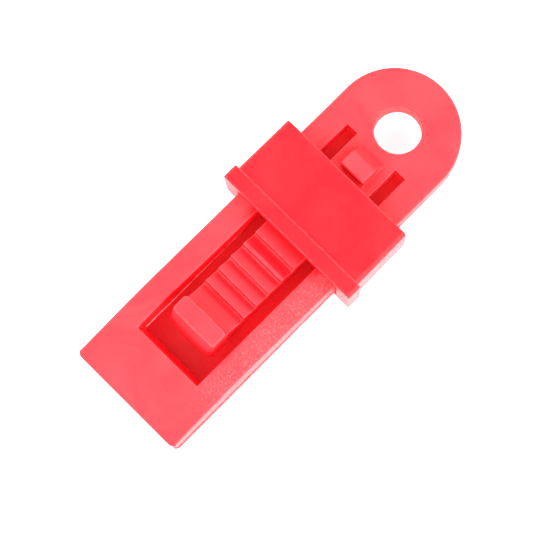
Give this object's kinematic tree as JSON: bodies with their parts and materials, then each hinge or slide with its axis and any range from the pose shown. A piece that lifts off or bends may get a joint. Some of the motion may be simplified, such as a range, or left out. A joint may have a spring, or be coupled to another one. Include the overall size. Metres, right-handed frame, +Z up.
{
  "type": "slide-lock tarp clip",
  "caption": "Flat plastic tarp clip with a hanging eye, two toothed jaws, a ratchet tongue with a thumb block, and a rectangular sleeve that slides along to clamp them.",
  "frame": {"origin": "centre of the underside of the bounding box, on the surface that the sleeve's flange rests on", "axes": "+X along the clip towards the hanging eye, +Y across it, +Z up, away from the lower jaw"},
  "size_m": [0.0846, 0.033, 0.0184],
  "materials": {
    "body_plastic": "fine moulded texture, slightly translucent polypropylene",
    "sleeve_plastic": "satin moulded polypropylene"
  },
  "bodies": {
    "clip_body": {"eye_plate": "body_plastic", "lower_jaw": "body_plastic"},
    "sleeve": {"locking_sleeve": "sleeve_plastic"},
    "jaw": {"upper_jaw": "body_plastic"},
    "tongue_base": {"tongue_root": "body_plastic"},
    "tongue": {"ratchet_tongue": "body_plastic"}
  },
  "joints": [
    {"name": "sleeve_slide", "type": "slide", "parent": "clip_body", "child": "sleeve", "axis": [-1, 0, 0], "range_m": [-0.0009, 0.019]},
    {"name": "jaw_close", "type": "hinge", "parent": "clip_body", "child": "jaw", "pos_m": [0.0244, 0, 0.00825], "axis": [0, -1, 0], "range_deg": [-0.11, 2.24]},
    {"name": "tongue_ride", "type": "hinge", "parent": "clip_body", "child": "tongue_base", "pos_m": [0.0244, 0, 0.00825], "axis": [0, -1, 0], "range_deg": [-0.18, 3.6]},
    {"name": "thumb_press", "type": "hinge", "parent": "tongue_base", "child": "tongue", "pos_m": [0.0021, 0, 0.0102], "axis": [0, -1, 0], "range_deg": [0, 3.5], "stiffness_Nm_per_rad": 0.2}
  ],
  "couplings": [
    {"joint": "jaw_close", "follows": "sleeve_slide", "rad_per_m": 2.05},
    {"joint": "tongue_ride", "follows": "sleeve_slide", "rad_per_m": 3.3}
  ]
}
